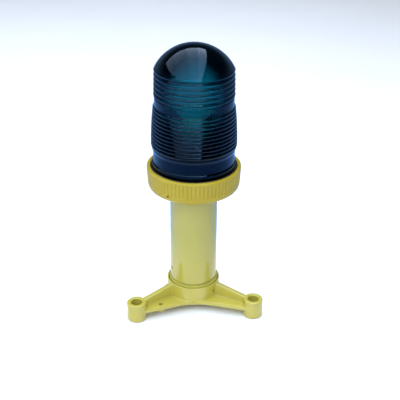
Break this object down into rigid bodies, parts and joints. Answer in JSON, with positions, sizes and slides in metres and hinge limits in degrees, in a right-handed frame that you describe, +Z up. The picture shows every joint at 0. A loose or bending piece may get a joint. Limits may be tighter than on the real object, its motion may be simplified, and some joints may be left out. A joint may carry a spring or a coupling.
{
  "type": "marker beacon",
  "caption": "Self-contained marker beacon: a ribbed glass dome in a knurled ring on a short tube post, with a bolt-down base of ribbed arms.",
  "frame": {"origin": "on the mast axis, level with the undersides of the three feet: the centre of the bolt circle on the surface that the beacon stands on", "axes": "+Z up along the mast to the top of the dome; -Y is the front, between two of the arms; the third arm points along +Y"},
  "size_m": [0.1776, 0.1599, 0.355],
  "materials": {
    "yellow_coat": "glossy yellow powder coat on aluminium",
    "golden_coat": "golden yellow powder coat on aluminium",
    "olive_metal": "chromated cast aluminium",
    "steel": "zinc plated",
    "aluminium": "machined",
    "brass": "nickel plated",
    "rubber": "smooth moulded silicone rubber",
    "black_plastic": "moulded black plastic",
    "white_plastic": "moulded white plastic",
    "red_plastic": "moulded red plastic",
    "wire_sleeve": "wire insulation",
    "cell_sleeve": "printed sleeve, left plain",
    "circuit_board": "green solder mask",
    "blue_glass": "blue pressed glass with prism rings"
  },
  "bodies": {
    "mast": {"base_casting": "yellow_coat", "base_plug": "black_plastic", "plug_seal": "rubber", "break_coupling": "olive_metal", "hub_screw_1": "steel", "hub_screw_2": "steel", "hub_screw_3": "steel", "pole_tube": "yellow_coat", "tube_screw_1": "steel", "tube_screw_2": "steel", "head_casting": "golden_coat", "neck_screw_1": "steel", "neck_screw_2": "steel", "neck_screw_3": "steel", "battery_carrier": "black_plastic", "lower_cell": "cell_sleeve", "upper_cell": "cell_sleeve", "contact_spring": "steel", "contact_plate": "steel", "return_strip": "steel", "battery_lid": "black_plastic", "carrier_screw_1": "steel", "carrier_screw_2": "steel", "carrier_screw_3": "steel", "circuit_board": "circuit_board", "board_spacer_1": "brass", "board_spacer_2": "brass", "board_spacer_3": "brass", "tray_standoff_1": "brass", "tray_standoff_2": "brass", "tray_standoff_3": "brass", "capacitor_1": "black_plastic", "capacitor_2": "black_plastic", "inductor": "black_plastic", "driver_chip": "black_plastic", "lead_connector": "white_plastic", "lamp_tray": "black_plastic", "tray_screw_1": "steel", "tray_screw_2": "steel", "tray_screw_3": "steel", "lamp_stem": "aluminium", "led_block": "aluminium", "led_board": "white_plastic", "heat_sink": "aluminium", "heat_sink_screw": "steel", "lamp_lead": "wire_sleeve", "switch_body": "black_plastic"},
    "button": {"switch_button": "red_plastic"},
    "seal": {"head_seal": "rubber"},
    "washer": {"slip_washer": "white_plastic"},
    "lens_unit": {"clamp_ring": "golden_coat", "ring_lock_screw": "steel", "lens_gasket": "rubber", "lens_dome": "blue_glass"}
  },
  "joints": [
    {"name": "lens_lift", "type": "slide", "parent": "mast", "child": "seal", "axis": [0, 0, 1], "range_m": [0, 0.15]},
    {"name": "ring_rise", "type": "slide", "parent": "seal", "child": "washer", "axis": [0, 0, 1], "range_m": [0, 0.006]},
    {"name": "ring_turn", "type": "hinge", "parent": "washer", "child": "lens_unit", "pos_m": [0, 0, 0.186], "axis": [0, 0, 1], "range_deg": [0, 720]},
    {"name": "button_press", "type": "slide", "parent": "mast", "child": "button", "axis": [0, 0, -1], "range_m": [0, 0.0017], "stiffness_N_per_m": 300}
  ],
  "couplings": [
    {"joint": "ring_rise", "follows": "ring_turn", "m_per_rad": 0.00047746}
  ]
}
